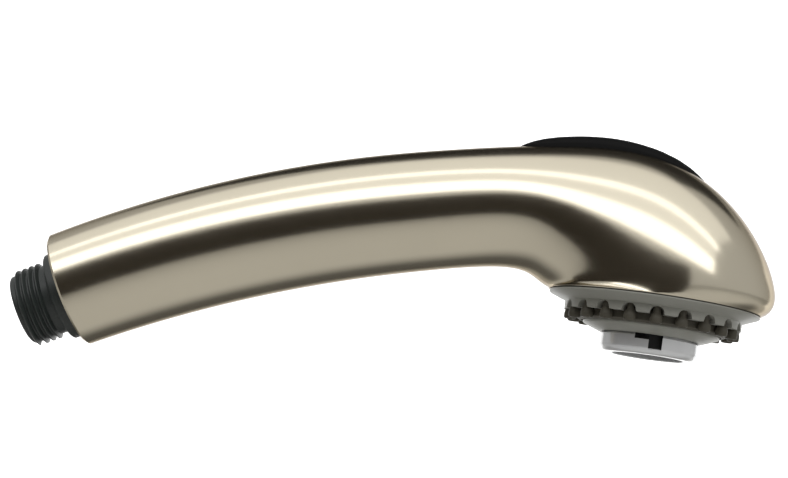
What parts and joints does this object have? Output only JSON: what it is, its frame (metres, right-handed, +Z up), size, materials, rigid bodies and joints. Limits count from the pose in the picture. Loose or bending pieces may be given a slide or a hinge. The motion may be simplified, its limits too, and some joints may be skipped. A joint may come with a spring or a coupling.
{
  "type": "pull-out spray wand",
  "caption": "Curved hand-held spray wand for a kitchen or pre-rinse tap, with a threaded hose inlet, a rocker on top, and an aerator inside a ring of soft nozzles.",
  "frame": {"origin": "centre of the inlet's end face, on the axis of the inlet thread", "axes": "+X level from the inlet towards the head, +Y across the wand, +Z up, opposite to the spray; XZ is the plane of symmetry"},
  "size_m": [0.1984, 0.0556, 0.0737],
  "materials": {
    "nickel": "warm satin nickel",
    "chrome": "bright chrome",
    "steel": "plain stainless steel",
    "dark_nylon": "dark grey-green moulded nylon",
    "black_rubber": "soft satin black",
    "grey_plastic": "light grey satin moulding",
    "taupe_silicone": "soft matt taupe",
    "black_plastic": "black moulding",
    "white_acetal": "off-white low-friction moulding",
    "seal_rubber": "matt black seal rubber"
  },
  "bodies": {
    "wand": {"body_shell": "nickel", "inlet_nipple": "dark_nylon", "nipple_o_ring": "seal_rubber", "inlet_strainer": "steel", "check_valve_cage": "white_acetal", "cage_o_ring": "seal_rubber", "check_valve_spring": "steel", "waterway_tube": "dark_nylon", "tube_o_ring": "seal_rubber", "valve_body": "dark_nylon", "seat_ring": "white_acetal", "cap_gasket": "seal_rubber", "valve_cap": "dark_nylon", "stem_o_ring": "seal_rubber", "cap_screw_1": "steel", "cap_screw_2": "steel", "rocker_pin": "steel", "face_plate": "grey_plastic", "face_o_ring": "seal_rubber", "nozzle_ring": "taupe_silicone", "spray_hub": "grey_plastic", "hub_o_ring": "seal_rubber", "aerator_collar": "chrome", "aerator_insert": "black_plastic", "aerator_screen": "steel", "flow_regulator": "white_acetal", "aerator_washer": "seal_rubber"},
    "rocker": {"rocker_pad": "black_rubber", "rocker_lever": "black_plastic"},
    "spool": {"diverter_spool": "white_acetal", "spool_seal_lower": "seal_rubber", "spool_seal_upper": "seal_rubber"},
    "poppet": {"check_valve_poppet": "white_acetal", "poppet_seal": "seal_rubber"}
  },
  "joints": [
    {"name": "rocker_tilt", "type": "hinge", "parent": "wand", "child": "rocker", "pos_m": [0.14777, 0, 0.05493], "axis": [0, -1, 0], "range_deg": [0, 6]},
    {"name": "spool_slide", "type": "slide", "parent": "wand", "child": "spool", "axis": [0, 0, 1], "range_m": [0, 0.0017]},
    {"name": "check_poppet_slide", "type": "slide", "parent": "wand", "child": "poppet", "axis": [0.8829, 0, 0.4695], "range_m": [0, 0.003], "stiffness_N_per_m": 100, "springref_m": -0.002, "deforming": ["check_valve_spring"]}
  ],
  "couplings": [
    {"joint": "spool_slide", "follows": "rocker_tilt", "m_per_rad": 0.016}
  ]
}
